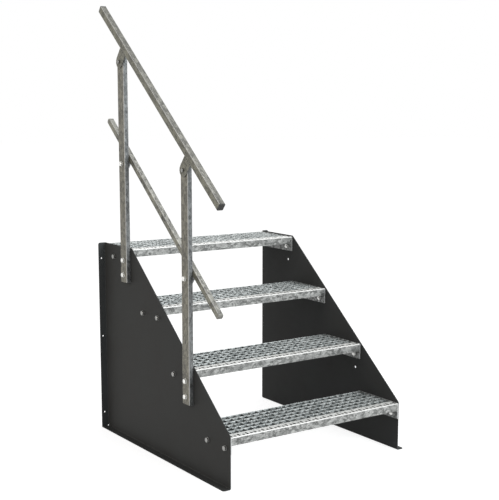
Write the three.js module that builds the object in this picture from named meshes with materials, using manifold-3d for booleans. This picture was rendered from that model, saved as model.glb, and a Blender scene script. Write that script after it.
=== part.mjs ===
// Freestanding stairs: grating treads bolted between two folded sheet cheeks, with a handrail and a
// mid rail that two posts carry on the left. Millimetres, +Z up. The user climbs towards +Y.
// The origin lies on the floor, in the middle of the plan.

import * as THREE from 'three';
import { mergeGeometries, mergeVertices } from 'three/addons/utils/BufferGeometryUtils.js';
import Module from 'manifold-3d';

const wasm = await Module();
wasm.setup();

// Stair: rise and going from one tread to the next
const treadCount = 4;
const rise = 200;
const going = 244;
const treadLength = 800;
const treadDepth = 240;
const treadBelowEdge = 5;

// Cheeks: one sheet each, folded outwards along the back and the base, with the corner welded shut
const sheet = 3;
const flange = 30;
const bendInside = 3;
const cheekCornerRadius = 5;
const flangeCornerRadius = 8;
const flangeHoleRadius = 3.25;
const flangeHoleFromFace = 17;
const backHoleInset = 66;
const baseHoleInset = 60;
const flangeHoleCount = 3;

// Gratings: bearing bars along the tread, with cross bars pressed into them
const cellsAlong = 24;
const cellsAcross = 6;
const barThickness = 2;
const bearingBarHeight = 30;
const crossBarHeight = 10;

// Nosings: an angle with a rounded front edge
const nosingDepth = 40;
const nosingHeight = 31;
const nosingThickness = 3;
const nosingRadius = 4;

// End plates: carry a tread on two bolts at each side
const endPlate = 3;
const endPlateHeight = 65;
const endPlateRadius = 3;
const boltBelowTread = 45;
const frontBoltFromNose = 32;
const boltSpacing = 120;

// Posts: flat tube on the outer face of the left cheek, at the front bolts of two treads
const postWidth = 20;
const postDepth = 50;
const tubeWall = 2;
const tubeRadius = 3;
const postLength = 900;
const postBoltSpacing = 60;
const postBelowBolt = 30;
const midRailAbovePostFoot = 480;
const handrailPivotBelowTop = 20;

// Rails: flat tube parallel to the slope, each on two tongues pinned to the posts
const handrailWidth = 25;
const handrailHeight = 30;
const handrailAbovePivot = 47;
const handrailPastPivot = 260;
const midRailWidth = 20;
const midRailHeight = 25;
const midRailAbovePivot = 21;
const midRailPastPivot = 228;
const tongueWidth = 50;
const tongueThickness = 4;

// End caps: a head as large as the tube and a stub inside it. Those of the mid rail are round.
const capHead = 3;
const capStub = 12;
const roundCapHead = 10;
const roundCapRadius = 9;

// Fasteners: the large ones hold treads, posts and the mid rail, the small ones the handrail
const large = { radius: 5, acrossFlats: 17, head: 6.5, nut: 8 };
const small = { radius: 4, acrossFlats: 13, head: 5, nut: 6.5 };
const washerRadius = 10;
const washerThickness = 2;
const boltPastNut = 5;

// Clearances
const seatGap = 0.3;
const holeClearance = 0.5;
const cutOverrun = 5;

// Facets of round shapes
const arcSteps = 3;
const holeSides = 8;
const shankSides = 6;
const flangeHoleSides = 12;
const washerSides = 10;
const tongueArcSteps = 8;

// Places worked out from the sizes above
const cheekDepth = (treadCount - 1) * going + treadDepth;
const cheekHeight = treadCount * rise;
const innerFace = treadLength / 2;
const outerFace = innerFace + sheet;
const plateFace = innerFace - endPlate;
const bendOutside = bendInside + sheet;
const foldLap = 2 * bendOutside;
const slope = Math.atan2(rise, going);
const postTreads = [Math.round(treadCount / 2), treadCount];
const postX = -outerFace - postWidth / 2;
const postSection = { width: postWidth, depth: postDepth };
const railSpan = Math.hypot(rise, going) * (postTreads[1] - postTreads[0]);

const powderCoat = { color: 0x3b3b39, roughness: 0.45, metalness: 0.2 };
const galvanised = { color: 0x9b9d99, roughness: 0.5, metalness: 0.8 };
const zincPlated = { color: 0xc9c9c2, roughness: 0.35, metalness: 0.9 };
const blackPlastic = { color: 0x202120, roughness: 0.6, metalness: 0 };
const greyPlastic = { color: 0x8c8c86, roughness: 0.6, metalness: 0 };

const stairs = new THREE.Group();
stairs.position.y = -cheekDepth / 2;

// Solids and outlines

function solid(geometry) {
  const bare = geometry.clone();
  bare.deleteAttribute('normal');
  bare.deleteAttribute('uv');
  const merged = mergeVertices(bare);
  return new wasm.Manifold(new wasm.Mesh({
    numProp: 3,
    vertProperties: merged.attributes.position.array,
    triVerts: merged.index.array,
  }));
}

function surface(body) {
  const mesh = body.getMesh();
  const geometry = new THREE.BufferGeometry();
  geometry.setAttribute('position', new THREE.BufferAttribute(mesh.vertProperties, 3));
  geometry.setIndex(new THREE.BufferAttribute(mesh.triVerts, 1));
  return geometry;
}

// A closed outline. Each corner is [u, v] or [u, v, radius], and a radius makes it an arc.
function outline(corners) {
  const points = [];
  const centreOfTurn = new THREE.Vector2();
  corners.forEach(([u, v, radius], index) => {
    const corner = new THREE.Vector2(u, v);
    if (!radius) {
      points.push(corner);
      return;
    }
    const towards = (step) => {
      const neighbour = corners[(index + step + corners.length) % corners.length];
      return new THREE.Vector2(neighbour[0], neighbour[1]).sub(corner).normalize();
    };
    const back = towards(-1);
    const ahead = towards(1);
    const half = Math.acos(back.dot(ahead)) / 2;
    const centre = back.clone().add(ahead).setLength(radius / Math.sin(half)).add(corner);
    const start = back.clone().setLength(radius / Math.tan(half)).add(corner).sub(centre);
    const turn = -Math.sign(back.cross(ahead)) * (Math.PI - 2 * half);
    for (let step = 0; step <= arcSteps; step += 1) {
      const spoke = start.clone().rotateAround(centreOfTurn, (turn * step) / arcSteps);
      points.push(spoke.add(centre));
    }
  });
  return new THREE.Shape(points);
}

function rectangle(u1, u2, v1, v2, radius) {
  return outline([[u1, v1, radius], [u2, v1, radius], [u2, v2, radius], [u1, v2, radius]]);
}

function polygon(sides, radius) {
  const points = [];
  for (let side = 0; side < sides; side += 1) {
    const angle = ((side + 1 / 2) * 2 * Math.PI) / sides;
    points.push(new THREE.Vector2(radius * Math.cos(angle), radius * Math.sin(angle)));
  }
  return points;
}

function extrude(shape, depth) {
  return new THREE.ExtrudeGeometry(shape, { depth, bevelEnabled: false });
}

// Outline in (y, z), from x = x1 to x = x2
function extrudeAlongX(shape, x1, x2) {
  const across = new THREE.Vector3(0, 1, 0);
  const up = new THREE.Vector3(0, 0, 1);
  const along = new THREE.Vector3(1, 0, 0);
  const geometry = extrude(shape, Math.abs(x2 - x1));
  geometry.applyMatrix4(new THREE.Matrix4().makeBasis(across, up, along));
  return geometry.translate(Math.min(x1, x2), 0, 0);
}

// Outline in (x, z), from y = y1 to y = y2
function extrudeAlongY(shape, y1, y2) {
  const across = new THREE.Vector3(1, 0, 0);
  const up = new THREE.Vector3(0, 0, 1);
  const along = new THREE.Vector3(0, -1, 0);
  const geometry = extrude(shape, y2 - y1);
  geometry.applyMatrix4(new THREE.Matrix4().makeBasis(across, up, along));
  return geometry.translate(0, y2, 0);
}

// Outline in (x, y), from z = z1 to z = z2
function extrudeAlongZ(shape, z1, z2) {
  return extrude(shape, z2 - z1).translate(0, 0, z1);
}

function block(x1, x2, y1, y2, z1, z2) {
  const geometry = new THREE.BoxGeometry(x2 - x1, y2 - y1, z2 - z1);
  return geometry.translate((x1 + x2) / 2, (y1 + y2) / 2, (z1 + z2) / 2);
}

// Round cutters, centred on a point and long enough to pass through the piece there
function drillAlongX(radius, length, x, y, z) {
  const points = new THREE.Shape(polygon(holeSides, radius));
  return solid(extrudeAlongX(points, x - length / 2, x + length / 2).translate(0, y, z));
}

function drillAlongY(radius, length, x, y, z) {
  const points = new THREE.Shape(polygon(flangeHoleSides, radius));
  return solid(extrudeAlongY(points, y - length / 2, y + length / 2).translate(x, 0, z));
}

function drillAlongZ(radius, length, x, y, z) {
  const points = new THREE.Shape(polygon(flangeHoleSides, radius));
  return solid(extrudeAlongZ(points, z - length / 2, z + length / 2).translate(x, y, 0));
}

function cut(body, cutters) {
  return cutters.reduce((rest, cutter) => rest.subtract(cutter), body);
}

function addPiece(name, geometry, finish, parent = stairs) {
  const mesh = new THREE.Mesh(geometry, new THREE.MeshStandardMaterial(finish));
  mesh.name = name;
  parent.add(mesh);
  return mesh;
}

// Places of the treads, their bolts and the posts

function treadNose(tread) {
  return (tread - 1) * going;
}

function treadTop(tread) {
  return tread * rise - treadBelowEdge;
}

function treadBolts(tread) {
  const y = treadNose(tread) + frontBoltFromNose;
  const z = treadTop(tread) - boltBelowTread;
  return [{ y, z }, { y: y + boltSpacing, z }];
}

function postPlace(tread) {
  const [upperBolt] = treadBolts(tread);
  const lowerBolt = { y: upperBolt.y, z: upperBolt.z - postBoltSpacing };
  const foot = lowerBolt.z - postBelowBolt;
  return {
    y: upperBolt.y,
    foot,
    lowerBolt,
    upperBolt,
    midRailPivot: { y: upperBolt.y, z: foot + midRailAbovePostFoot },
    handrailPivot: { y: upperBolt.y, z: foot + postLength - handrailPivotBelowTop },
  };
}

const treads = Array.from({ length: treadCount }, (_, index) => index + 1);
const posts = postTreads.map(postPlace);

// Cheeks

function flangeHolePlaces(length, inset) {
  const pitch = (length - 2 * inset) / (flangeHoleCount - 1);
  return Array.from({ length: flangeHoleCount }, (_, index) => inset + index * pitch);
}

function cheek(side) {
  const inner = side * innerFace;
  const outer = side * outerFace;
  const flangeEdge = side * (outerFace + flange);
  const bendEdge = side * (outerFace + bendInside);
  const holeX = side * (outerFace + flangeHoleFromFace);

  const flat = solid(extrudeAlongX(outline([
    [0, bendOutside],
    [cheekDepth - bendOutside, bendOutside],
    [cheekDepth - bendOutside, cheekHeight],
    [(treadCount - 1) * going, cheekHeight, cheekCornerRadius],
    [0, rise, cheekCornerRadius],
  ]), inner, outer));

  const baseProfile = outline([
    [inner, foldLap],
    [inner, 0, bendOutside],
    [flangeEdge, 0],
    [flangeEdge, sheet],
    [outer, sheet, bendInside],
    [outer, foldLap],
  ]);
  const basePlan = outline([
    [inner, 0],
    [flangeEdge, 0, flangeCornerRadius],
    [flangeEdge, cheekDepth],
    [bendEdge, cheekDepth],
    [bendEdge, cheekDepth - bendOutside],
    [inner, cheekDepth - bendOutside],
  ]);
  const basePrism = extrudeAlongZ(basePlan, -cutOverrun, foldLap + cutOverrun);
  const baseFold = solid(extrudeAlongY(baseProfile, 0, cheekDepth)).intersect(solid(basePrism));

  const backProfile = outline([
    [inner, cheekDepth - foldLap],
    [inner, cheekDepth, bendOutside],
    [flangeEdge, cheekDepth],
    [flangeEdge, cheekDepth - sheet],
    [outer, cheekDepth - sheet, bendInside],
    [outer, cheekDepth - foldLap],
  ]);
  const backElevation = outline([
    [inner, bendOutside],
    [bendEdge, bendOutside],
    [bendEdge, 0],
    [flangeEdge, 0],
    [flangeEdge, cheekHeight, flangeCornerRadius],
    [inner, cheekHeight],
  ]);
  const lapStart = cheekDepth - foldLap;
  const backPrism = extrudeAlongY(backElevation, lapStart - cutOverrun, cheekDepth + cutOverrun);
  const backFold = solid(extrudeAlongZ(backProfile, 0, cheekHeight)).intersect(solid(backPrism));

  const boltHole = large.radius + holeClearance;
  const bolts = treads.flatMap(treadBolts).concat(posts.map((post) => post.lowerBolt));
  const drillLength = sheet + 2 * cutOverrun;
  const boltHoles = bolts.map(({ y, z }) => (
    drillAlongX(boltHole, drillLength, (inner + outer) / 2, y, z)));
  const baseHoles = flangeHolePlaces(cheekDepth, baseHoleInset).map((y) => (
    drillAlongZ(flangeHoleRadius, drillLength, holeX, y, sheet / 2)));
  const backHoles = flangeHolePlaces(cheekHeight, backHoleInset).map((z) => (
    drillAlongY(flangeHoleRadius, drillLength, holeX, cheekDepth - sheet / 2, z)));

  return surface(cut(flat.add(baseFold).add(backFold), [...boltHoles, ...baseHoles, ...backHoles]));
}

addPiece('left_cheek', cheek(-1), powderCoat);
addPiece('right_cheek', cheek(1), powderCoat);

// Treads

// A block with its cells cut out, which leaves the bars. Under the cross bars each row of cells is
// open from end to end. The end cells open to the end plates.
function grating(tread) {
  const top = treadTop(tread);
  const front = treadNose(tread) + nosingDepth;
  const back = treadNose(tread) + treadDepth;
  const acrossPitch = (treadDepth - nosingDepth - barThickness) / cellsAcross;
  const alongPitch = treadLength / cellsAlong;
  const crossBar = (bar) => bar * alongPitch - treadLength / 2;
  const bottom = top - bearingBarHeight;
  const reach = plateFace + cutOverrun;
  const cells = [];
  const rows = [];
  for (let row = 0; row < cellsAcross; row += 1) {
    const near = front + row * acrossPitch + barThickness;
    const far = front + (row + 1) * acrossPitch;
    rows.push(block(-reach, reach, near, far, bottom - cutOverrun, top - crossBarHeight));
    for (let cell = 0; cell < cellsAlong; cell += 1) {
      const isFirst = cell === 0;
      const isLast = cell === cellsAlong - 1;
      const left = isFirst ? -reach : crossBar(cell) + barThickness / 2;
      const right = isLast ? reach : crossBar(cell + 1) - barThickness / 2;
      cells.push(block(left, right, near, far, bottom - cutOverrun, top + cutOverrun));
    }
  }
  const slab = solid(block(-plateFace, plateFace, front, back, bottom, top));
  return surface(cut(slab, [solid(mergeGeometries(cells)), solid(mergeGeometries(rows))]));
}

function nosing(tread) {
  const top = treadTop(tread);
  const nose = treadNose(tread);
  const profile = outline([
    [nose, top - nosingHeight],
    [nose + nosingThickness, top - nosingHeight],
    [nose + nosingThickness, top - nosingThickness],
    [nose + nosingDepth, top - nosingThickness],
    [nose + nosingDepth, top],
    [nose, top, nosingRadius],
  ]);
  return extrudeAlongX(profile, -plateFace, plateFace);
}

function treadEndPlate(tread, side) {
  const top = treadTop(tread);
  const nose = treadNose(tread);
  const shape = rectangle(nose, nose + treadDepth, top - endPlateHeight, top, endPlateRadius);
  const plate = solid(extrudeAlongX(shape, side * plateFace, side * innerFace));
  const middle = (side * (plateFace + innerFace)) / 2;
  const holes = treadBolts(tread).map(({ y, z }) => (
    drillAlongX(large.radius + holeClearance, endPlate + 2 * cutOverrun, middle, y, z)));
  return surface(cut(plate, holes));
}

for (const tread of treads) {
  addPiece(`tread_${tread}_grating`, grating(tread), galvanised);
  addPiece(`tread_${tread}_nosing`, nosing(tread), galvanised);
  addPiece(`tread_${tread}_left_end_plate`, treadEndPlate(tread, -1), galvanised);
  addPiece(`tread_${tread}_right_end_plate`, treadEndPlate(tread, 1), galvanised);
}

// Tubes and their end caps, standing on the origin

function tubeOutline({ width, depth }) {
  const shape = rectangle(-width / 2, width / 2, -depth / 2, depth / 2, tubeRadius);
  const halfBore = { x: width / 2 - tubeWall, y: depth / 2 - tubeWall };
  shape.holes.push(rectangle(-halfBore.x, halfBore.x, -halfBore.y, halfBore.y));
  return shape;
}

function tubeCap({ width, depth }, headLength, radius) {
  const inset = tubeWall + seatGap;
  const end = seatGap + headLength;
  const head = rectangle(-width / 2, width / 2, -depth / 2, depth / 2, tubeRadius);
  const side = outline([
    [-depth / 2, seatGap], [depth / 2, seatGap], [depth / 2, end, radius], [-depth / 2, end, radius],
  ]);
  const stub = rectangle(inset - width / 2, width / 2 - inset, inset - depth / 2, depth / 2 - inset);
  return surface(solid(extrudeAlongZ(head, seatGap, end))
    .intersect(solid(extrudeAlongX(side, -width, width)))
    .add(solid(extrudeAlongZ(stub, -capStub, seatGap + capHead / 2))));
}

// Posts

function post({ foot, lowerBolt, upperBolt, midRailPivot, handrailPivot }) {
  const tube = solid(extrudeAlongZ(tubeOutline(postSection), 0, postLength));
  const holes = [
    [large, lowerBolt],
    [large, upperBolt],
    [large, midRailPivot],
    [small, handrailPivot],
  ].map(([bolt, { z }]) => (
    drillAlongX(bolt.radius + holeClearance, postWidth + 2 * cutOverrun, 0, 0, z - foot)));
  return surface(cut(tube, holes));
}

posts.forEach((place, index) => {
  const name = ['lower_post', 'upper_post'][index];
  addPiece(name, post(place), galvanised).position.set(postX, place.y, place.foot);
  const cap = addPiece(`${name}_cap`, tubeCap(postSection, capHead), blackPlastic);
  cap.position.set(postX, place.y, place.foot + postLength);
});

// Rails, drawn level and then tilted about the lower pivot: y runs along the rail and z across it

function tongue(abovePivot, bolt) {
  const radius = tongueWidth / 2;
  const shape = new THREE.Shape();
  shape.moveTo(-radius, abovePivot - seatGap);
  for (let step = 0; step <= tongueArcSteps; step += 1) {
    const angle = Math.PI * (1 + step / tongueArcSteps);
    shape.lineTo(radius * Math.cos(angle), radius * Math.sin(angle));
  }
  shape.lineTo(radius, abovePivot - seatGap);
  shape.closePath();
  const plate = solid(extrudeAlongX(shape, -tongueThickness / 2, tongueThickness / 2));
  const drillLength = tongueThickness + 2 * cutOverrun;
  return surface(cut(plate, [drillAlongX(bolt.radius + holeClearance, drillLength, 0, 0, 0)]));
}

function addRail({
  name, section, pivot, outerX, tongueX, abovePivot, pastPivot, bolt, cap,
}) {
  const rail = new THREE.Group();
  rail.position.set(0, pivot.y, pivot.z);
  rail.rotation.x = slope;
  stairs.add(rail);

  const tubeX = outerX + section.width / 2;
  const tubeZ = abovePivot + section.depth / 2;
  const lowerEnd = cap.head + seatGap - pastPivot;
  const upperEnd = railSpan + pastPivot - cap.head - seatGap;
  const tube = extrudeAlongZ(tubeOutline(section), 0, upperEnd - lowerEnd);
  const tubeMesh = addPiece(`${name}_tube`, tube, galvanised, rail);
  tubeMesh.position.set(tubeX, lowerEnd, tubeZ);
  tubeMesh.rotation.x = -Math.PI / 2;

  const plug = () => tubeCap(section, cap.head, cap.radius);
  const lowerCap = addPiece(`${name}_lower_cap`, plug(), cap.finish, rail);
  lowerCap.position.set(tubeX, lowerEnd, tubeZ);
  lowerCap.rotation.x = Math.PI / 2;
  const upperCap = addPiece(`${name}_upper_cap`, plug(), cap.finish, rail);
  upperCap.position.set(tubeX, upperEnd, tubeZ);
  upperCap.rotation.x = -Math.PI / 2;

  const lowerTongue = addPiece(`${name}_lower_tongue`, tongue(abovePivot, bolt), galvanised, rail);
  lowerTongue.position.x = tongueX;
  const upperTongue = addPiece(`${name}_upper_tongue`, tongue(abovePivot, bolt), galvanised, rail);
  upperTongue.position.set(tongueX, railSpan, 0);
}

const postOuterFace = -outerFace - postWidth;
const handrailOuterX = postOuterFace - seatGap - tongueThickness;
const midRailOuterX = -outerFace + seatGap;

addRail({
  name: 'handrail',
  section: { width: handrailWidth, depth: handrailHeight },
  pivot: posts[0].handrailPivot,
  outerX: handrailOuterX,
  tongueX: handrailOuterX + tongueThickness / 2,
  abovePivot: handrailAbovePivot,
  pastPivot: handrailPastPivot,
  bolt: small,
  cap: { head: capHead, finish: blackPlastic },
});
addRail({
  name: 'mid_rail',
  section: { width: midRailWidth, depth: midRailHeight },
  pivot: posts[0].midRailPivot,
  outerX: midRailOuterX,
  tongueX: midRailOuterX + tongueThickness / 2,
  abovePivot: midRailAbovePivot,
  pastPivot: midRailPastPivot,
  bolt: large,
  cap: { head: roundCapHead, radius: roundCapRadius, finish: greyPlastic },
});

// Fasteners: depth runs inwards from the face that the washer or the head lies on

function hexagon(acrossFlats) {
  return new THREE.Shape(polygon(6, acrossFlats / Math.sqrt(3)));
}

function disc(sides, radius) {
  return new THREE.Shape(polygon(sides, radius));
}

// A bolt, with its washer and its nut screwed up tight where it has them
function addBolt(name, { side, face, bolt, length, washer = 0, nutDepth }, { y, z }) {
  const along = (shape, from, to) => (
    solid(extrudeAlongX(shape, face - side * from, face - side * to).translate(0, y, z)));
  let body = along(hexagon(bolt.acrossFlats), -washer - bolt.head, 0)
    .add(along(disc(shankSides, bolt.radius), -washer - bolt.head / 2, length));
  if (washer) {
    body = body.add(along(disc(washerSides, washerRadius), -washer, 0));
  }
  if (nutDepth) {
    body = body.add(along(hexagon(bolt.acrossFlats), nutDepth, nutDepth + bolt.nut));
  }
  addPiece(name, surface(body), zincPlated);
}

function addNut(name, bolt, x, { y, z }) {
  const shape = hexagon(bolt.acrossFlats);
  shape.holes.push(new THREE.Path(polygon(holeSides, bolt.radius + holeClearance)));
  addPiece(name, extrudeAlongX(shape, x, x + bolt.nut).translate(0, y, z), zincPlated);
}

const treadGrip = sheet + endPlate;
const treadBoltKind = {
  bolt: large,
  washer: washerThickness,
  length: treadGrip + large.nut + boltPastNut,
  nutDepth: treadGrip,
};
for (const tread of treads) {
  const [front, rear] = treadBolts(tread);
  const left = { ...treadBoltKind, side: -1, face: -outerFace };
  const right = { ...treadBoltKind, side: 1, face: outerFace };
  if (!postTreads.includes(tread)) {
    addBolt(`tread_${tread}_left_front_bolt`, left, front);
  }
  addBolt(`tread_${tread}_left_rear_bolt`, left, rear);
  addBolt(`tread_${tread}_right_front_bolt`, right, front);
  addBolt(`tread_${tread}_right_rear_bolt`, right, rear);
}

// The upper bolt of a post also holds a tread, so its nut lies on the end plate
const postGrip = postWidth + treadGrip;
const postBoltKind = {
  side: -1,
  face: postOuterFace,
  bolt: large,
  washer: washerThickness,
  length: postGrip + large.nut + boltPastNut,
};
const midRailNutX = midRailOuterX + tongueThickness + seatGap;
const midRailBoltKind = {
  ...postBoltKind,
  length: midRailNutX - postOuterFace + large.nut + boltPastNut,
};
const handrailBoltKind = {
  side: -1,
  face: handrailOuterX - seatGap,
  bolt: small,
  length: postWidth + tongueThickness + 2 * seatGap + small.nut + boltPastNut,
};
posts.forEach((place, index) => {
  const end = ['lower', 'upper'][index];
  addBolt(`${end}_post_upper_bolt`, { ...postBoltKind, nutDepth: postGrip }, place.upperBolt);
  addBolt(`${end}_post_lower_bolt`, { ...postBoltKind, nutDepth: postGrip - endPlate }, place.lowerBolt);
  addBolt(`mid_rail_${end}_bolt`, midRailBoltKind, place.midRailPivot);
  addNut(`mid_rail_${end}_nut`, large, midRailNutX, place.midRailPivot);
  addBolt(`handrail_${end}_bolt`, handrailBoltKind, place.handrailPivot);
  addNut(`handrail_${end}_nut`, small, -outerFace, place.handrailPivot);
});

export default stairs;
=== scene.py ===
import math

import bmesh
import bpy
from mathutils import Matrix, Vector


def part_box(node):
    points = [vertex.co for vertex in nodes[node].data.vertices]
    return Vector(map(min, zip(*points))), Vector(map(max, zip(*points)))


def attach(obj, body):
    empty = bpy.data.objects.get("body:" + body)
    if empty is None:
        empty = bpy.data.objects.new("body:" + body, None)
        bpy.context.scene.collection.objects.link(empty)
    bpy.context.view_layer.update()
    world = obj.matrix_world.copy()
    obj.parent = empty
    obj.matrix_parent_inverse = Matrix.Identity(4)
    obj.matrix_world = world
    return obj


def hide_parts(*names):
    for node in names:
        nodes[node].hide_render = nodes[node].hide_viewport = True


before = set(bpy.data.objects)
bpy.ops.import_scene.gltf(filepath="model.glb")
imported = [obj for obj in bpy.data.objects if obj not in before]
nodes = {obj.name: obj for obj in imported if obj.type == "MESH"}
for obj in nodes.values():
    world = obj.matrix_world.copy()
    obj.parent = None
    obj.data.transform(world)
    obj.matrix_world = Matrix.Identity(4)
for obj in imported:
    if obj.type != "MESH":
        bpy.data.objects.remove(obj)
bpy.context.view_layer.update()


# Camera: stands in front and to the left of the stairs, about as high as the middle of the
# handrail, and looks slightly down at them through a long lens.
eye = Vector((-2.4395, -3.6520, 1.3843))
aim = Vector((0.1587, -0.1405, 0.6844))
lean = math.radians(0.4543)


def put_in_scene(name, data):
    item = bpy.data.objects.new(name, data)
    bpy.context.scene.collection.objects.link(item)
    return item


camera = put_in_scene("camera", bpy.data.cameras.new("camera"))
camera.data.sensor_fit = "HORIZONTAL"
camera.data.lens = 78.324
camera.data.shift_x = -0.1012
camera.data.shift_y = 0.0546
gaze = (aim - eye).to_track_quat("-Z", "Y").to_matrix().to_4x4()
camera.matrix_world = Matrix.Translation(eye) @ gaze @ Matrix.Rotation(lean, 4, "Z")
bpy.context.scene.camera = camera
bpy.context.scene.view_settings.view_transform = "Standard"


# Floor: a plain pale floor that runs into a white surround. It shows white to the eye and in
# reflections, and still takes the soft shadow of the stairs.
floor_reach = 30.0
floor_drop = 0.0004
floor_grey = (0.42, 0.42, 0.42, 1)
floor_glow = 0.8


def join_inputs(tree, node, given):
    """Gives each named input of a node its value, or links it to another node's output."""
    for socket, value in given.items():
        if isinstance(value, bpy.types.NodeSocket):
            tree.links.new(value, node.inputs[socket])
        else:
            node.inputs[socket].default_value = value
    return node


def add_node(tree, kind, given=None, **settings):
    node = tree.nodes.new(kind)
    for setting, value in settings.items():
        setattr(node, setting, value)
    return join_inputs(tree, node, given or {})


def reckon(tree, operation, first, second):
    return add_node(tree, "ShaderNodeMath", {0: first, 1: second}, operation=operation).outputs[0]


def times(tree, first, second):
    return reckon(tree, "MULTIPLY", first, second)


def white_to_the_eye(tree):
    """1 for rays from the camera, off a shiny face or through a clear one, and 0 for others."""
    rays = add_node(tree, "ShaderNodeLightPath").outputs
    seen = reckon(tree, "MAXIMUM", rays["Is Camera Ray"], rays["Is Glossy Ray"])
    return reckon(tree, "MAXIMUM", seen, rays["Is Transmission Ray"])


floor_paint = bpy.data.materials.new("pale_floor")
floor_paint.use_nodes = True
tree = floor_paint.node_tree
tree.nodes.clear()
matt = add_node(tree, "ShaderNodeBsdfDiffuse", {"Color": floor_grey})
glow = add_node(tree, "ShaderNodeEmission", {
    "Strength": times(tree, white_to_the_eye(tree), floor_glow)})
both = add_node(tree, "ShaderNodeAddShader", {0: matt.outputs[0], 1: glow.outputs[0]})
add_node(tree, "ShaderNodeOutputMaterial", {"Surface": both.outputs[0]})

floor_mesh = bpy.data.meshes.new("floor")
floor_mesh.from_pydata(
    [(x * floor_reach, y * floor_reach, -floor_drop)
     for x, y in ((-1, -1), (1, -1), (1, 1), (-1, 1))],
    [], [(0, 1, 2, 3)])
floor_mesh.materials.append(floor_paint)
floor = put_in_scene("floor", floor_mesh)


# Light: a plain studio sky from all sides, with one broad lamp overhead, a slightly cool soft
# lamp in front and a weak warm one on the left.
white = (1, 1, 1, 1)
sky_strength = 0.6
stairs_middle = (0, 0, 0.6)

world = bpy.data.worlds.new("studio")
world.use_nodes = True
bpy.context.scene.world = world
tree = world.node_tree
tree.nodes.clear()
sky = add_node(tree, "ShaderNodeBackground", {"Color": white, "Strength": sky_strength})
surround = add_node(tree, "ShaderNodeBackground", {"Color": white})
shown = add_node(tree, "ShaderNodeMixShader", {
    0: white_to_the_eye(tree), 1: sky.outputs[0], 2: surround.outputs[0]})
add_node(tree, "ShaderNodeOutputWorld", {"Surface": shown.outputs[0]})


def soft_lamp(name, place, size, power, colour):
    lamp = put_in_scene(name, bpy.data.lights.new(name, "AREA"))
    lamp.data.shape = "DISK"
    lamp.data.size = size
    lamp.data.energy = power
    lamp.data.color = colour
    lamp.location = place
    lamp.rotation_mode = "QUATERNION"
    lamp.rotation_quaternion = (Vector(stairs_middle) - Vector(place)).to_track_quat("-Z", "Y")


soft_lamp("lamp_above", place=(0.6, -0.8, 4.2), size=2.4, power=70, colour=(1, 1, 1))
soft_lamp("lamp_front", place=(0.9, -4.2, 2.2), size=1.8, power=60, colour=(0.9, 0.97, 1))
soft_lamp("lamp_left", place=(-4.0, 0.4, 1.6), size=1.6, power=24, colour=(1, 0.9, 0.76))


# Cheeks: two folded sheets of 3 mm steel with an anthracite powder coat. The coat is satin, with
# a fine orange peel and a little settled dust in patches. Faces that look along y, the back
# flanges most of all, are painted paler as a painted sheen.
cheek_edge = 0.0005
coat_colour = (0.0445, 0.0445, 0.0435)
dust_and_sheen_colour = (0.09, 0.097, 0.099)
dust_share = 0.25
# How much paler faces that look along y, the flanges most, are painted: a painted sheen.
flange_sheen_share = 0.6


def start_material(name):
    material = bpy.data.materials.new(name)
    material.use_nodes = True
    return material, material.node_tree, material.node_tree.nodes["Principled BSDF"]


def object_pattern(tree, kind, scale, stretch=(1, 1, 1), slope=0.0):
    """A pattern fixed to the piece, drawn out along its axes, or along a rising line."""
    place = add_node(tree, "ShaderNodeTexCoord").outputs["Object"]
    mapping = add_node(tree, "ShaderNodeMapping", {
        "Vector": place, "Rotation": (slope, 0, 0), "Scale": stretch}, vector_type="TEXTURE")
    return add_node(tree, kind, {"Vector": mapping.outputs["Vector"], "Scale": scale})


def noise(tree, scale, detail=2, roughness=0.5, **drawn_out):
    pattern = object_pattern(tree, "ShaderNodeTexNoise", scale, **drawn_out)
    join_inputs(tree, pattern, {"Detail": detail, "Roughness": roughness})
    return pattern.outputs["Fac"]


def ranged(tree, value, taken, given):
    """Carries a value from the range taken over to the range given."""
    return add_node(tree, "ShaderNodeMapRange", {
        "Value": value, "From Min": taken[0], "From Max": taken[1],
        "To Min": given[0], "To Max": given[1]}).outputs["Result"]


def blended(tree, factor, first, second, blend="MIX"):
    """The first colour where the factor is 0 and the blend with the second where it is 1."""
    node = add_node(tree, "ShaderNodeMix", data_type="RGBA", blend_type=blend)
    for socket, colour in (("A", first), ("B", second)):
        linked = isinstance(colour, bpy.types.NodeSocket)
        join_inputs(tree, node, {socket: colour if linked else (*colour, 1)})
    return join_inputs(tree, node, {"Factor": factor}).outputs["Result"]


def summed(tree, *weighted):
    """The sum of some values, each times its weight."""
    total = 0
    for value, weight in weighted:
        total = add_node(tree, "ShaderNodeMath", {0: value, 1: weight, 2: total},
                         operation="MULTIPLY_ADD").outputs[0]
    return total


def bump(tree, height, strength, depth):
    return add_node(tree, "ShaderNodeBump", {
        "Height": height, "Strength": strength, "Distance": depth}).outputs["Normal"]


def squared_facing(tree, axis):
    """1 where a face looks along the axis, 0 where it looks across it."""
    normal = add_node(tree, "ShaderNodeTexCoord").outputs["Normal"]
    along = add_node(tree, "ShaderNodeSeparateXYZ", {0: normal}).outputs[axis]
    return times(tree, along, along)


powder_coat, tree, shader = start_material("powder_coat")
dust = noise(tree, scale=5.0, detail=6)
# Patchy dust, plus a painted sheen that makes faces looking along y, such as the flanges, paler.
sheen_and_dust_mask = summed(tree, (ranged(tree, dust, (0.35, 0.75), (0, 1)), dust_share),
               (squared_facing(tree, "Y"), flange_sheen_share))
orange_peel = noise(tree, scale=700.0)
join_inputs(tree, shader, {
    "Base Color": blended(tree, sheen_and_dust_mask, coat_colour, dust_and_sheen_colour),
    "Roughness": ranged(tree, dust, (0.3, 0.7), (0.42, 0.56)),
    "Specular IOR Level": 0.04,
    "Normal": bump(tree, orange_peel, strength=0.25, depth=0.0003)})


def mesh_of(bm, name):
    mesh = bpy.data.meshes.new(name)
    bm.to_mesh(mesh)
    bm.free()
    return mesh


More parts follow.
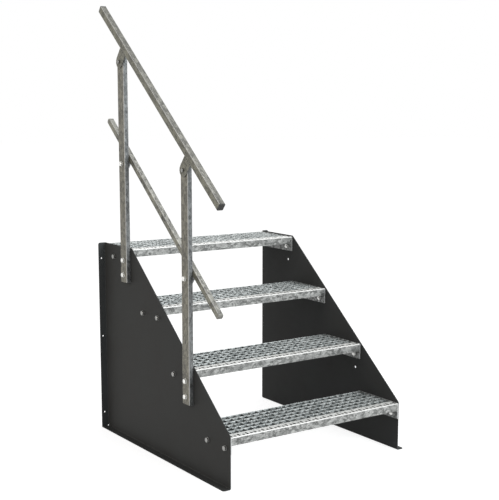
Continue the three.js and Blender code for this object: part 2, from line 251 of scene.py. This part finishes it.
def smoothed(piece, sharp_from):
    """Shades the piece smooth, but for the edges that turn more than an angle in degrees."""
    mesh = piece.data
    mesh.polygons.foreach_set("use_smooth", [True] * len(mesh.polygons))
    mesh.set_sharp_from_angle(angle=math.radians(sharp_from))
    weighing = piece.modifiers.new("weighted", "WEIGHTED_NORMAL")
    weighing.keep_sharp = True


def eased(node, name, width, material):
    """A copy of a CAD node with its sharp edges worn round, which then stands for the node."""
    same_place = 0.000002
    flat_angle = math.radians(0.5)
    worn_angle = math.radians(48)
    bm = bmesh.new()
    bm.from_mesh(nodes[node].data)
    bmesh.ops.remove_doubles(bm, verts=bm.verts, dist=same_place)
    bmesh.ops.dissolve_limit(bm, angle_limit=flat_angle, verts=bm.verts, edges=bm.edges)
    sharp = [edge for edge in bm.edges
             if len(edge.link_faces) == 2 and edge.calc_face_angle() > worn_angle]
    bmesh.ops.bevel(bm, geom=sharp, offset=width, offset_type="OFFSET", segments=2, profile=0.5,
                    affect="EDGES", clamp_overlap=True)
    bmesh.ops.triangulate(bm, faces=bm.faces)
    loose = [edge for edge in bm.edges if not edge.link_faces]
    bmesh.ops.delete(bm, geom=loose, context="EDGES")
    low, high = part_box(node)
    for vert in bm.verts:
        vert.co = [min(max(vert.co[axis], low[axis]), high[axis]) for axis in range(3)]
    mesh = mesh_of(bm, name)
    mesh.materials.append(material)
    piece = put_in_scene(name, mesh)
    smoothed(piece, sharp_from=50)
    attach(piece, "root")
    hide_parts(node)
    return piece


for side in ("left", "right"):
    piece = eased(f"{side}_cheek", f"{side}_cheek_sheet", cheek_edge, powder_coat)


# Gratings: bearing bars along each tread and lower cross bars pressed into them, hot-dip
# galvanised after assembly, so the crystals of the zinc run over all the bars.
treads = range(1, 5)
cells_across = 6
cells_along = 24
bar_thickness = 0.002
cross_bar_height = 0.010
bar_edge_radius = 0.0005
# Colour of the painted highlight on rounded corners.
corner_highlight_zinc = (0.86, 0.86, 0.85)


def corner_highlight_mask(tree, axis):
    """1 on a rounded corner halfway between the faces along and across the axis, 0 on both.
    It marks where a corner gets a painted highlight.
    """
    along = squared_facing(tree, axis)
    return times(tree, along, ranged(tree, along, (0, 1), (4, 0)))


def galvanised(name, pale, dark, spangle=110.0, stretch=(1, 1, 1), slope=0.0, metallic=0.5,
               cloudy=0.5, base=0.0, sides=0.0, fronts=0.0, tops=0.0, corners=0.0,
               corner_axis="X", side_tint=(1, 1, 1)):
    """Mottled zinc. Faces that look sideways, forwards or up may be painted darker or lighter, as
    painted light and shade, corners may get a painted highlight, and sides a painted tint."""
    crystal_share = 0.3
    fleck_share = 0.5
    mottling_reach = 0.3
    crystal_unevenness = 0.16
    cloud_unevenness = 0.3
    crystal_relief = 0.4
    grain_relief = 0.6
    material, tree, shader = start_material(name)
    drawn_out = {"stretch": stretch, "slope": slope}
    crystals = object_pattern(tree, "ShaderNodeTexVoronoi", spangle, **drawn_out).outputs
    shades = add_node(tree, "ShaderNodeSeparateColor", {"Color": crystals["Color"]}).outputs
    clouds = noise(tree, scale=22.0, detail=7, roughness=0.68, **drawn_out)
    flecks = noise(tree, scale=260.0, detail=3, **drawn_out)
    grain = noise(tree, scale=900.0)

    mottling = summed(tree, (shades["Red"], crystal_share), (clouds, cloudy),
                      (flecks, fleck_share))
    middle = (crystal_share + cloudy + fleck_share) / 2
    mottled = ranged(tree, mottling, (middle - mottling_reach, middle + mottling_reach),
                     (base, base + 1))
    # Faces that look along x, y or z are painted darker or lighter as painted light and shade.
    side = squared_facing(tree, "X")
    light = summed(tree, (mottled, 1), (side, sides), (squared_facing(tree, "Y"), fronts),
                   (squared_facing(tree, "Z"), tops))
    zinc = blended(tree, light, dark, pale)
    # Side faces get a painted tint.
    if side_tint != (1, 1, 1):
        zinc = blended(tree, side, zinc, side_tint, "MULTIPLY")
    # Rounded corners get a painted highlight.
    if corners:
        zinc = blended(tree, times(tree, corner_highlight_mask(tree, corner_axis), corners),
                       zinc, corner_highlight_zinc)

    unevenness = summed(tree, (shades["Green"], crystal_unevenness),
                        (clouds, cloud_unevenness))
    relief = summed(tree, (crystals["Distance"], crystal_relief), (grain, grain_relief))
    join_inputs(tree, shader, {
        "Base Color": zinc,
        "Roughness": ranged(tree, unevenness, (0.05, 0.4), (0.3, 0.56)),
        "Metallic": metallic,
        "Normal": bump(tree, relief, strength=0.3, depth=0.0004)})
    return material


def plus(tree, first, second):
    return reckon(tree, "ADD", first, second)


def minus(tree, first, second):
    return reckon(tree, "SUBTRACT", first, second)


def point_of(tree, x, y, z):
    return add_node(tree, "ShaderNodeCombineXYZ", {0: x, 1: y, 2: z}).outputs[0]


def geometry_tree(name, sizes, counts=(), finishes=("Finish",), shapes=()):
    """A tree with a named input for each size, count, finish and shape that it is given."""
    tree = bpy.data.node_groups.new(name, "GeometryNodeTree")
    tree.interface.new_socket("Geometry", in_out="INPUT", socket_type="NodeSocketGeometry")
    for names, kind in ((sizes, "Float"), (counts, "Int"), (finishes, "Material"),
                        (shapes, "Object")):
        for socket in names:
            tree.interface.new_socket(socket, in_out="INPUT", socket_type=f"NodeSocket{kind}")
    tree.interface.new_socket("Geometry", in_out="OUTPUT", socket_type="NodeSocketGeometry")
    return tree, tree.nodes.new("NodeGroupInput").outputs


def close_tree(tree, geometry, finish, where=True):
    """Ends the tree with real geometry, which has the finish where it is asked for."""
    real = add_node(tree, "GeometryNodeRealizeInstances", {"Geometry": geometry})
    coated = add_node(tree, "GeometryNodeSetMaterial", {
        "Geometry": real.outputs[0], "Material": finish, "Selection": where})
    add_node(tree, "NodeGroupOutput", {0: coated.outputs[0]})
    return tree


def joined(tree, *parts):
    whole = add_node(tree, "GeometryNodeJoinGeometry")
    for part in parts:
        tree.links.new(part, whole.inputs[0])
    return whole.outputs[0]


def grown(name, tree, values, start=None):
    """A plain mesh that the tree makes from its values and from the mesh to start with."""
    holder = put_in_scene(name, start or bpy.data.meshes.new(name))
    growth = holder.modifiers.new(name, "NODES")
    growth.node_group = tree
    for item in tree.interface.items_tree:
        if item.in_out == "INPUT" and item.name in values:
            growth[item.identifier] = values[item.name]
    depsgraph = bpy.context.evaluated_depsgraph_get()
    mesh = bpy.data.meshes.new_from_object(holder.evaluated_get(depsgraph))
    holder.modifiers.clear()
    holder.data = mesh
    mesh.name = name
    return holder


def bars(tree, given, height, start, end, first, step, count):
    """A row of like bars. Each is swept from its start to its end, with its corners eased."""
    profile = add_node(tree, "GeometryNodeCurvePrimitiveQuadrilateral", {
        "Width": given["Bar thickness"], "Height": height})
    rounded = add_node(tree, "GeometryNodeFilletCurve", {
        "Curve": profile.outputs[0], "Radius": given["Edge radius"]})
    path = add_node(tree, "GeometryNodeCurvePrimitiveLine", {"Start": start, "End": end})
    upright = add_node(tree, "GeometryNodeSetCurveNormal", {"Curve": path.outputs[0]},
                       mode="Z_UP")
    bar = add_node(tree, "GeometryNodeCurveToMesh", {
        "Curve": upright.outputs[0], "Profile Curve": rounded.outputs[0], "Fill Caps": True})
    row = add_node(tree, "GeometryNodeMeshLine", {
        "Count": count, "Start Location": first, "Offset": step})
    return add_node(tree, "GeometryNodeInstanceOnPoints", {
        "Points": row.outputs[0], "Instance": bar.outputs[0]}).outputs[0]


def pressed_grating():
    """Bearing bars along x and cross bars along y, level at the top."""
    tree, given = geometry_tree("pressed_grating", (
        "Length", "Front", "Back", "Top", "Bar thickness", "Bearing bar height",
        "Cross bar height", "Edge radius"), ("Cells across", "Cells along"))
    front, back, top = given["Front"], given["Back"], given["Top"]
    half_length = times(tree, given["Length"], 0.5)
    half_bar = times(tree, given["Bar thickness"], 0.5)
    half_bearing = times(tree, given["Bearing bar height"], 0.5)
    half_cross = times(tree, given["Cross bar height"], 0.5)
    bearing_run = minus(tree, minus(tree, back, front), given["Bar thickness"])
    bearing_step = reckon(tree, "DIVIDE", bearing_run, given["Cells across"])
    cross_step = reckon(tree, "DIVIDE", given["Length"], given["Cells along"])
    bearing = bars(
        tree, given, given["Bearing bar height"],
        start=point_of(tree, times(tree, half_length, -1), 0, 0),
        end=point_of(tree, half_length, 0, 0),
        first=point_of(tree, 0, plus(tree, front, half_bar), minus(tree, top, half_bearing)),
        step=point_of(tree, 0, bearing_step, 0),
        count=plus(tree, given["Cells across"], 1))
    crossing = bars(
        tree, given, given["Cross bar height"],
        start=point_of(tree, 0, front, 0),
        end=point_of(tree, 0, back, 0),
        first=point_of(tree, minus(tree, cross_step, half_length), 0,
                       minus(tree, top, half_cross)),
        step=point_of(tree, cross_step, 0, 0),
        count=minus(tree, given["Cells along"], 1))
    return close_tree(tree, joined(tree, bearing, crossing), given["Finish"])


grating_tree = pressed_grating()
# The tops of the bars are painted much lighter and all else darker: painted light from above and
# painted shade on the bar sides.
grating_zinc = galvanised("galvanised_grating", pale=(0.9, 0.93, 0.92),
                          dark=(0.13, 0.145, 0.145), spangle=140.0, base=-0.4, tops=0.95)
for tread in treads:
    low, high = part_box(f"tread_{tread}_grating")
    piece = grown(f"tread_{tread}_bars", grating_tree, {
        "Length": high.x - low.x, "Front": low.y, "Back": high.y, "Top": high.z,
        "Bar thickness": bar_thickness, "Bearing bar height": high.z - low.z,
        "Cross bar height": cross_bar_height, "Edge radius": bar_edge_radius,
        "Cells across": cells_across, "Cells along": cells_along, "Finish": grating_zinc})
    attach(piece, "root")
    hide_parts(f"tread_{tread}_grating")


# Nosings: folded strips with a rounded front edge, welded in front of each grating. One row of
# punched slots, long and short by turns, gives the shoe its grip.
strip_thickness = 0.003
strip_radius = 0.004
strip_radius_steps = 4
tread_length = 0.800
slot_width = 0.008
long_slot = 0.022
short_slot = 0.013
slot_setback = 0.006
long_slots = 23
short_slots = 22


def slot_row(tree, given, length, count):
    """Slots run backwards from their setback, every second pitch, centred along the strip. Their
    punches reach from two thicknesses under the top of the strip to one above it."""
    end_radius_share = 0.49
    end_steps = 3
    same_place = 0.00001
    shape = add_node(tree, "GeometryNodeCurvePrimitiveQuadrilateral", {
        "Width": given["Slot width"], "Height": length})
    ends = add_node(tree, "GeometryNodeFilletCurve", {
        "Curve": shape.outputs[0], "Count": end_steps,
        "Radius": times(tree, given["Slot width"], end_radius_share)}, mode="POLY")
    flat = add_node(tree, "GeometryNodeFillCurve", {"Curve": ends.outputs[0]}, mode="NGONS")
    deep = add_node(tree, "GeometryNodeExtrudeMesh", {
        "Mesh": flat.outputs[0], "Offset": (0, 0, 1),
        "Offset Scale": times(tree, given["Thickness"], 3)})
    under = add_node(tree, "GeometryNodeFlipFaces", {"Mesh": flat.outputs[0]})
    punch = add_node(tree, "GeometryNodeMergeByDistance", {
        "Geometry": joined(tree, deep.outputs[0], under.outputs[0]), "Distance": same_place})
    reach = times(tree, minus(tree, count, 1), given["Slot pitch"])
    middle = plus(tree, plus(tree, given["Front"], given["Slot setback"]),
                  times(tree, length, 0.5))
    bottom = minus(tree, given["Top"], times(tree, given["Thickness"], 2))
    row = add_node(tree, "GeometryNodeMeshLine", {
        "Count": count,
        "Start Location": point_of(tree, times(tree, reach, -1), middle, bottom),
        "Offset": point_of(tree, times(tree, given["Slot pitch"], 2), 0, 0)})
    return add_node(tree, "GeometryNodeInstanceOnPoints", {
        "Points": row.outputs[0], "Instance": punch.outputs[0]}).outputs[0]


def slotted_nosing():
    """The strip that it starts with, punched. The walls of the slots keep a dark finish of their
    own, as painted shade.
    """
    tree, given = geometry_tree("slotted_nosing", (
        "Front", "Top", "Thickness", "Slot width", "Long slot", "Short slot", "Slot setback",
        "Slot pitch"), ("Long slots", "Short slots"), ("Finish", "Slot wall shade finish"))
    rows = joined(tree, slot_row(tree, given, given["Long slot"], given["Long slots"]),
                  slot_row(tree, given, given["Short slot"], given["Short slots"]))
    punches = add_node(tree, "GeometryNodeRealizeInstances", {"Geometry": rows})
    # The slot walls take a dark finish: painted shade in the punched slots.
    shaded_punches = add_node(tree, "GeometryNodeSetMaterial", {
        "Geometry": punches.outputs[0], "Material": given["Slot wall shade finish"]})
    strip = add_node(tree, "GeometryNodeSetMaterial", {
        "Geometry": given["Geometry"], "Material": given["Finish"]})
    punched = add_node(tree, "GeometryNodeMeshBoolean", {
        "Mesh 1": strip.outputs[0], "Mesh 2": shaded_punches.outputs[0]},
        operation="DIFFERENCE", solver="EXACT")
    outside = add_node(tree, "GeometryNodeMaterialSelection", {"Material": given["Finish"]})
    return close_tree(tree, punched.outputs["Mesh"], given["Finish"], outside.outputs[0])


def folded_strip(name, low, high, thickness, radius, steps):
    """An angle along x with its front upper edge rounded, closed at both ends."""
    corners = [(low.y, low.z), (low.y + thickness, low.z),
               (low.y + thickness, high.z - thickness), (high.y, high.z - thickness),
               (high.y, high.z)]
    for step in range(steps + 1):
        turn = math.pi / 2 * (1 + step / steps)
        corners.append((low.y + radius + radius * math.cos(turn),
                        high.z - radius + radius * math.sin(turn)))
    bm = bmesh.new()
    left = [bm.verts.new((low.x, y, z)) for y, z in corners]
    right = [bm.verts.new((high.x, y, z)) for y, z in corners]
    bm.faces.new(left)
    bm.faces.new(reversed(right))
    for index in range(len(corners)):
        after = (index + 1) % len(corners)
        bm.faces.new((left[index], right[index], right[after], left[after]))
    bmesh.ops.recalc_face_normals(bm, faces=bm.faces)
    return mesh_of(bm, name)


nosing_tree = slotted_nosing()
# Tops and the rounded front edge are painted lighter as a painted highlight, and the front face
# darker as painted shade.
nosing_zinc = galvanised("galvanised_nosing", pale=(0.82, 0.83, 0.81), dark=(0.13, 0.134, 0.13),
                         spangle=120.0, stretch=(1.6, 1, 1), cloudy=0.18, base=-0.23, tops=0.75,
                         corners=1.0, corner_axis="Z")
# The slot walls are painted dark as painted shade in the punched recesses.
slot_wall_shade_zinc = galvanised("galvanised_slot_wall_shade", pale=(0.12, 0.12, 0.115), dark=(0.04, 0.04, 0.038),
                         spangle=200.0)
for tread in treads:
    name = f"tread_{tread}_slotted_nosing"
    low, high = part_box(f"tread_{tread}_nosing")
    strip = folded_strip(name, low, high, strip_thickness, strip_radius, strip_radius_steps)
    piece = grown(name, nosing_tree, {
        "Front": low.y, "Top": high.z, "Thickness": strip_thickness, "Slot width": slot_width,
        "Long slot": long_slot, "Short slot": short_slot, "Slot setback": slot_setback,
        "Slot pitch": tread_length / (long_slots + short_slots),
        "Long slots": long_slots, "Short slots": short_slots,
        "Finish": nosing_zinc, "Slot wall shade finish": slot_wall_shade_zinc}, strip)
    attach(piece, "root")
    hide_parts(f"tread_{tread}_nosing")


# End plates: cut from 3 mm sheet and welded across the bar ends of each tread. They carry the
# tread on its bolts.
plate_edge = 0.0005
# The plates are painted dark as painted shade under the treads; their edges that look forwards and
# backwards get a painted highlight, and their tops are lighter.
plate_zinc = galvanised("galvanised_plate", pale=(0.8, 0.81, 0.8), dark=(0.09, 0.094, 0.092),
                        spangle=90.0, metallic=0.3, cloudy=0.2, base=-0.4, fronts=1.3, tops=0.5)
for tread in treads:
    for side in ("left", "right"):
        piece = eased(f"tread_{tread}_{side}_end_plate", f"tread_{tread}_{side}_plate",
                      plate_edge, plate_zinc)


# Tread welds: short beads beside the ends of the bearing bars, which join them to the end plates.
# They were laid before the tread was galvanised. The front bar has none.
bead_length = 0.018
bead_radius = 0.0016
bead_unevenness = 0.25
bead_depth = 0.018


def spots_mesh(name, spots):
    mesh = bpy.data.meshes.new(name)
    mesh.from_pydata(spots, [], [])
    return mesh


def bead_on_each_spot():
    """Upright beads, some a little thicker than others."""
    tree, given = geometry_tree("weld_beads", ("Bead length", "Bead radius", "Unevenness"))
    bead = add_node(tree, "GeometryNodeMeshIcoSphere", {"Radius": 1.0, "Subdivisions": 2})
    uneven = add_node(tree, "FunctionNodeRandomValue", {
        "Min": minus(tree, 1, given["Unevenness"]),
        "Max": plus(tree, 1, given["Unevenness"]), "Seed": 7}, data_type="FLOAT")
    breadth = times(tree, given["Bead radius"], uneven.outputs["Value"])
    half_length = times(tree, given["Bead length"], 0.5)
    beads = add_node(tree, "GeometryNodeInstanceOnPoints", {
        "Points": given["Geometry"], "Instance": bead.outputs[0],
        "Scale": point_of(tree, breadth, breadth, half_length)})
    return close_tree(tree, beads.outputs[0], given["Finish"])


bead_tree = bead_on_each_spot()
weld_zinc = galvanised("galvanised_weld", pale=(0.58, 0.59, 0.58), dark=(0.34, 0.35, 0.34),
                       spangle=200.0)
for tread in treads:
    name = f"tread_{tread}_welds"
    low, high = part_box(f"tread_{tread}_grating")
    pitch = (high.y - low.y - bar_thickness) / cells_across
    spots = []
    for bar in range(1, cells_across + 1):
        bar_sides = (0, bar_thickness) if bar < cells_across else (0,)
        for bar_side in bar_sides:
            y = low.y + bar_side + bar * pitch
            spots += [(x, y, high.z - bead_depth) for x in (low.x, high.x)]
    piece = grown(name, bead_tree, {
        "Bead length": bead_length, "Bead radius": bead_radius,
        "Unevenness": bead_unevenness, "Finish": weld_zinc}, spots_mesh(name, spots))
    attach(piece, "root")


# Posts: flat tube, galvanised by the length, drilled for the tread bolts and the rails. The zinc
# has run along the tube. Its side faces get a painted warm tint, and its corners a painted
# highlight.
post_edge = 0.0004
# The side tint is painted warm light, and the corners get a painted highlight.
post_zinc = galvanised("galvanised_post", pale=(0.3, 0.312, 0.314), dark=(0.018, 0.019, 0.019),
                       spangle=120.0, stretch=(1, 1, 1.6), metallic=0.4, cloudy=0.3,
                       corners=0.5, side_tint=(1, 0.915, 0.73))
for end in ("lower", "upper"):
    piece = eased(f"{end}_post", f"{end}_post_tube", post_edge, post_zinc)


# Rails and tongues: flat tube on cut plates, welded together and galvanised after welding. The
# tubes lie parallel to the slope of the stairs.
rail_edge = 0.0003
tongue_edge = 0.0005
rise = 0.2
going = 0.244
# Corners get a painted highlight and side faces a painted warm tint. The handrail's sides are
# painted lighter, and the tops of both tubes and the mid rail's sides darker, as painted light and
# shade.
rail_look = {"slope": math.atan2(rise, going), "stretch": (1, 2, 1), "metallic": 0.4,
             "cloudy": 0.35, "corners": 0.4, "side_tint": (1, 0.985, 0.88)}
handrail_zinc = galvanised("galvanised_handrail", pale=(0.25, 0.249, 0.218),
                           dark=(0.018, 0.018, 0.016), sides=0.08, tops=-0.1, **rail_look)
mid_rail_zinc = galvanised("galvanised_mid_rail", pale=(0.4, 0.4, 0.36),
                           dark=(0.03, 0.03, 0.027), sides=-0.14, tops=-0.12, **rail_look)
tongue_zinc = galvanised("galvanised_tongue", pale=(0.62, 0.65, 0.68), dark=(0.16, 0.17, 0.175))
for rail, tube_finish, tongue_finish in (("handrail", handrail_zinc, handrail_zinc),
                                         ("mid_rail", mid_rail_zinc, tongue_zinc)):
    piece = eased(f"{rail}_tube", f"{rail}_zinc_tube", rail_edge, tube_finish)
    for end in ("lower", "upper"):
        piece = eased(f"{rail}_{end}_tongue", f"{rail}_zinc_{end}_tongue", tongue_edge,
                      tongue_finish)


# End caps: black plastic, pushed into the open ends of the handrail and into the tops of the
# posts.
plug_edge = 0.001


def plastic(name, dark, pale, grain_scale, grain_detail, grain_depth):
    material, tree, shader = start_material(name)
    grain = noise(tree, grain_scale, grain_detail)
    join_inputs(tree, shader, {
        "Base Color": blended(tree, grain, dark, pale),
        "Roughness": ranged(tree, grain, (0, 1), (0.45, 0.65)),
        "Normal": bump(tree, grain, strength=0.2, depth=grain_depth)})
    return material


cap_plastic = plastic("cap_plastic", dark=(0.018, 0.018, 0.018), pale=(0.03, 0.03, 0.029),
                      grain_scale=400.0, grain_detail=2, grain_depth=0.0002)
for node in ("lower_post_cap", "upper_post_cap", "handrail_lower_cap", "handrail_upper_cap"):
    piece = eased(node, f"{node}_plug", plug_edge, cap_plastic)


# Round caps of the mid rail: moulded in zinc grey plastic and pushed into both ends of the tube,
# domed so that a hand slides past them.
round_cap_edge = 0.003
round_plastic = plastic("round_cap_plastic", dark=(0.2, 0.198, 0.18), pale=(0.36, 0.355, 0.32),
                        grain_scale=160.0, grain_detail=4, grain_depth=0.0003)
for end in ("lower", "upper"):
    piece = eased(f"mid_rail_{end}_cap", f"mid_rail_{end}_round_cap", round_cap_edge,
                  round_plastic)


# Bolts and nuts: zinc plated hexagon bolts with chamfered heads, washers and nuts, screwed up
# tight. The left tread bolts and the handrail bolts are given a darker tone of the plating. The
# washers of the tread bolts lie on the cheeks, those of the post and mid rail bolts on the posts.
sheet = 0.003
end_plate = 0.003
post_width = 0.020
tongue = 0.004
seat_gap = 0.0003
past_nut = 0.005
thread_pitch = 0.0015
washer_lip = 0.0003
bearing_face_height = 0.0004
bearing_face_share = 0.47
chamfer_circle_share = 0.48
dish_share = 0.3
dish_depth = 0.0003
steps_per_flat = 4
round_sides = 6 * steps_per_flat
thread_sides = 16
thread_tip_share = 0.78
thread_root_share = 0.86
thread_in_nut_share = 0.1


def plated(name, dark, pale):
    material, tree, shader = start_material(name)
    film = noise(tree, scale=260.0)
    join_inputs(tree, shader, {
        "Base Color": blended(tree, film, dark, pale),
        "Roughness": ranged(tree, film, (0, 1), (0.25, 0.42)),
        "Metallic": 0.85,
        "Normal": bump(tree, film, strength=0.1, depth=0.0002)})
    return material


def hexagon_reach(across_flats):
    """How far a hexagon reaches from its axis at each angle, with a corner at zero."""
    def reach(turn):
        return across_flats / 2 / math.cos(turn % (math.pi / 3) - math.pi / 6)
    return reach


def chamfered(flats, level, into):
    """The height at which a 30 degree chamfer cone cuts each side of a hexagon."""
    reach = hexagon_reach(flats)
    uncut = flats * chamfer_circle_share
    return lambda turn: level + into * (reach(turn) - uncut) * math.tan(math.pi / 6)


def turned_shell(bm, rings, sides):
    """A closed shell round the z axis. Each ring is a height and a radius, and either may be a
    function that gives it from the angle."""
    loops = []
    for height, radius in rings:
        loop = []
        for index in range(sides):
            turn = 2 * math.pi * index / sides
            reach = radius(turn) if callable(radius) else radius
            level = height(turn) if callable(height) else height
            loop.append(bm.verts.new((reach * math.cos(turn), reach * math.sin(turn), level)))
        loops.append(loop)
    bm.faces.new(reversed(loops[0]))
    bm.faces.new(loops[-1])
    for below, above in zip(loops, loops[1:]):
        for index in range(sides):
            after = (index + 1) % sides
            bm.faces.new((below[index], below[after], above[after], above[index]))


def washer_shell(bm, thickness, radius):
    inner = radius - washer_lip
    turned_shell(bm, [(0, inner), (washer_lip, radius), (thickness - washer_lip, radius),
                      (thickness, inner)], round_sides)


def head_shell(bm, flats, bottom, top):
    """A hexagon on a round bearing face, with its upper corners chamfered and a dished top."""
    reach = hexagon_reach(flats)
    chamfer_circle = flats * chamfer_circle_share
    underside = bottom + bearing_face_height
    turned_shell(bm, [(bottom, flats * bearing_face_share), (underside, chamfer_circle),
                      (underside, reach), (chamfered(flats, top, -1), reach),
                      (top, chamfer_circle), (top - dish_depth, flats * dish_share)], round_sides)


def nut_shell(bm, flats, bottom, top):
    """A hexagon with the corners chamfered on both faces. The shank fills its bore."""
    reach = hexagon_reach(flats)
    chamfer_circle = flats * chamfer_circle_share
    turned_shell(bm, [(bottom, chamfer_circle), (chamfered(flats, bottom, 1), reach),
                      (chamfered(flats, top, -1), reach), (top, chamfer_circle)], round_sides)


def shank_shell(bm, radius, tip, thread_end, plain_from, top):
    """A shank with thread from its tip up to the end of the thread, and plain above."""
    rings = [(tip, radius * thread_tip_share)]
    crest = tip + thread_pitch / 2
    while crest < thread_end:
        rings += [(crest, radius), (crest + thread_pitch / 2, radius * thread_root_share)]
        crest += thread_pitch
    turned_shell(bm, [*rings, (plain_from, radius), (top, radius)], thread_sides)


def bolt_shape(name, grip, length, radius, flats, head, nut, washer, washer_radius):
    """A bolt along z with its head upwards, and the outer face of what it clamps at z = 0. The
    thread ends inside the nut and the shank inside the head, where neither shows."""
    bm = bmesh.new()
    if washer:
        washer_shell(bm, washer, washer_radius)
    head_shell(bm, flats, washer, washer + head)
    shank_shell(bm, radius, tip=-length, thread_end=-grip - nut * (1 - thread_in_nut_share),
                plain_from=-grip - nut / 2, top=washer + head / 2)
    nut_shell(bm, flats, -grip - nut, -grip)
    bmesh.ops.recalc_face_normals(bm, faces=bm.faces)
    return put_in_scene(name, mesh_of(bm, name))


def bolts_in_place():
    """A bolt on each spot, leant over to its side and turned by chance round its own axis."""
    tree, given = geometry_tree("bolts_in_place", ("Lean", "Loosest turn"), shapes=("Bolt",))
    bolt = add_node(tree, "GeometryNodeObjectInfo", {"Object": given["Bolt"]})
    placed = add_node(tree, "GeometryNodeInstanceOnPoints", {
        "Points": given["Geometry"], "Instance": bolt.outputs["Geometry"],
        "Rotation": point_of(tree, 0, given["Lean"], 0)})
    turn = add_node(tree, "FunctionNodeRandomValue", {
        "Min": 0.0, "Max": given["Loosest turn"], "Seed": 3}, data_type="FLOAT")
    turned = add_node(tree, "GeometryNodeRotateInstances", {
        "Instances": placed.outputs[0],
        "Rotation": point_of(tree, 0, 0, turn.outputs["Value"])})
    return close_tree(tree, turned.outputs[0], given["Finish"])


bolt_tree = bolts_in_place()
darker_zinc = plated("darker_zinc", dark=(0.16, 0.16, 0.155), pale=(0.42, 0.42, 0.41))
bright_zinc = plated("bright_zinc", dark=(0.7, 0.7, 0.68), pale=(0.95, 0.95, 0.93))
large = {"radius": 0.005, "flats": 0.017, "head": 0.0065, "nut": 0.008,
         "washer": 0.002, "washer_radius": 0.010}
small = {"radius": 0.004, "flats": 0.013, "head": 0.005, "nut": 0.0065,
         "washer": 0, "washer_radius": 0}


def bolts(name, side, kind, grip, length, finish, bolt_nodes, nut_nodes=()):
    """One piece for some bolts of a kind, with their nuts. The grip is the depth of all that a
    bolt clamps. Grip and length both start at the outer clamped face."""
    seat = kind["head"] + kind["washer"]
    spots = []
    for node in bolt_nodes:
        low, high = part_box(node)
        face = low.x + seat if side == "left" else high.x - seat
        spots.append((face, (low.y + high.y) / 2, (low.z + high.z) / 2))
    shape = bolt_shape(f"{name}_shape", grip, length, **kind)
    piece = grown(name, bolt_tree, {
        "Lean": -math.pi / 2 if side == "left" else math.pi / 2, "Loosest turn": math.pi / 3,
        "Bolt": shape, "Finish": finish}, spots_mesh(name, spots))
    bpy.data.objects.remove(shape)
    smoothed(piece, sharp_from=28)
    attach(piece, "root")
    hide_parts(*bolt_nodes, *nut_nodes)


tread_grip = sheet + end_plate
for side, finish in (("left", darker_zinc), ("right", bright_zinc)):
    bolt_nodes = [name for name in nodes if name.startswith("tread_")
                  and f"_{side}_" in name and name.endswith("_bolt")]
    bolts(f"{side}_tread_bolts", side, large, tread_grip, tread_grip + large["nut"] + past_nut,
          finish, bolt_nodes)

post_grip = post_width + tread_grip
post_bolt_length = post_grip + large["nut"] + past_nut
bolts("post_tread_bolts", "left", large, post_grip, post_bolt_length, bright_zinc,
      ["lower_post_upper_bolt", "upper_post_upper_bolt"])
bolts("post_cheek_bolts", "left", large, post_width + sheet, post_bolt_length, bright_zinc,
      ["lower_post_lower_bolt", "upper_post_lower_bolt"])

rail_grip = post_width + tongue + 2 * seat_gap
bolts("mid_rail_bolts", "left", large, rail_grip, rail_grip + large["nut"] + past_nut,
      bright_zinc, ["mid_rail_lower_bolt", "mid_rail_upper_bolt"],
      ["mid_rail_lower_nut", "mid_rail_upper_nut"])
bolts("handrail_bolts", "left", small, rail_grip, rail_grip + small["nut"] + past_nut,
      darker_zinc, ["handrail_lower_bolt", "handrail_upper_bolt"],
      ["handrail_lower_nut", "handrail_upper_nut"])
